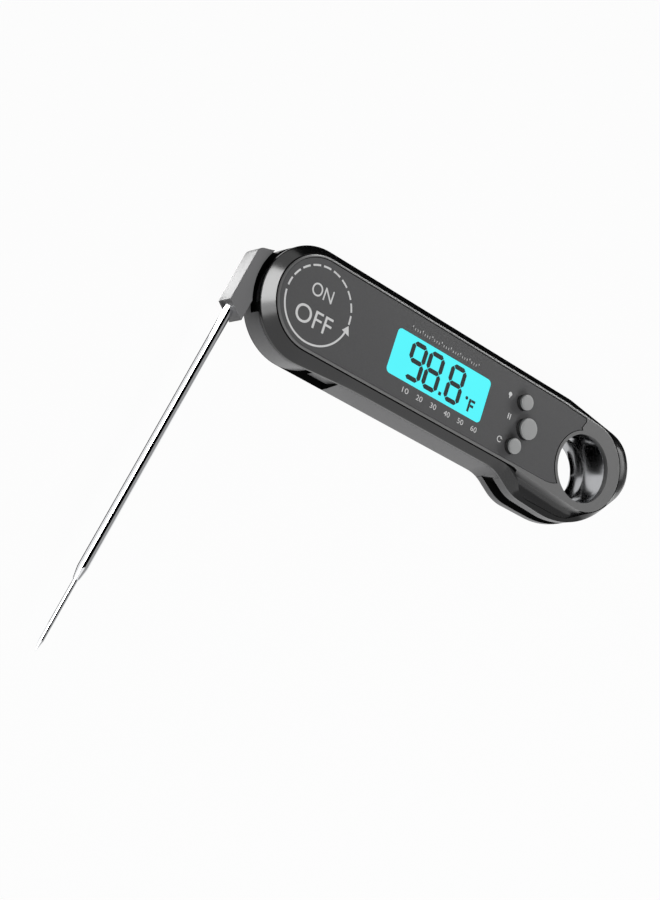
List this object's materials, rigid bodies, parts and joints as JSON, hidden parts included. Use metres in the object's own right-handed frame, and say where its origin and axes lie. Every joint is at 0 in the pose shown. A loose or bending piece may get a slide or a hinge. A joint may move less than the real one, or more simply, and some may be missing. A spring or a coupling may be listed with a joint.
{
  "type": "folding probe thermometer",
  "caption": "Folding pocket thermometer with a steel probe on a swinging arm, a backlit display, push buttons and a hang hole.",
  "frame": {"origin": "on the probe's hinge axis, at the flat back of the case", "axes": "+X along the case from the hinge to the hang hole, +Y across the case away from the probe, +Z out of the display"},
  "size_m": [0.1886, 0.147, 0.0198],
  "materials": {
    "case_plastic": "satin",
    "bezel_plastic": "satin",
    "face_film": "fine grain",
    "window": "clear",
    "rubber": "matte",
    "lcd": "backlit",
    "light_guide": "milky",
    "board": "solder mask",
    "black_plastic": "moulded",
    "white_plastic": "moulded",
    "cell_steel": "plated",
    "brass": "stamped",
    "magnet": "nickel plated",
    "screw_steel": "zinc plated",
    "black_gloss": "polished",
    "lead_film": "film",
    "button_plastic": "satin",
    "arm_plastic": "satin",
    "polished_steel": "mirror polished"
  },
  "bodies": {
    "case": {"rear_case": "case_plastic", "front_case": "case_plastic", "bezel": "bezel_plastic", "face_plate": "face_film", "lcd_window": "window", "display_gasket": "rubber", "lcd_glass": "lcd", "lcd_backlight": "light_guide", "lcd_connectors": "rubber", "circuit_board": "board", "controller_chip": "black_plastic", "reed_switch": "black_plastic", "tact_switches": "white_plastic", "cell_holder": "black_plastic", "coin_cell": "cell_steel", "battery_contact_pos": "brass", "battery_contact_neg": "brass", "back_magnets": "magnet", "case_screws": "screw_steel", "board_screws": "screw_steel", "hang_ring": "black_gloss", "pivot_sleeve": "brass", "pivot_screw": "screw_steel", "friction_washer": "screw_steel", "board_lead": "lead_film"},
    "probe": {"probe_arm": "arm_plastic", "probe_shaft": "polished_steel", "probe_tip": "polished_steel", "thermistor": "black_plastic", "sensor_lead": "lead_film", "arm_magnet": "magnet"},
    "light_button_body": {"light_button": "button_plastic"},
    "hold_button_body": {"hold_button": "button_plastic"},
    "cal_button_body": {"cal_button": "button_plastic"},
    "battery_cover_body": {"battery_cover": "case_plastic", "battery_seal": "rubber"}
  },
  "joints": [
    {"name": "probe_fold", "type": "hinge", "parent": "case", "child": "probe", "pos_m": [0, 0, 0.0088], "axis": [0, 0, 1], "range_deg": [-79.4, 100.6]},
    {"name": "light_button_press", "type": "slide", "parent": "case", "child": "light_button_body", "axis": [0, 0, -1], "range_m": [0, 0.0006], "stiffness_N_per_m": 1500},
    {"name": "hold_button_press", "type": "slide", "parent": "case", "child": "hold_button_body", "axis": [0, 0, -1], "range_m": [0, 0.0006], "stiffness_N_per_m": 1500},
    {"name": "cal_button_press", "type": "slide", "parent": "case", "child": "cal_button_body", "axis": [0, 0, -1], "range_m": [0, 0.0006], "stiffness_N_per_m": 1500},
    {"name": "battery_cover_turn", "type": "hinge", "parent": "case", "child": "battery_cover_body", "pos_m": [0.052, 0, 0.001], "axis": [0, 0, 1], "range_deg": [0, 45]}
  ]
}
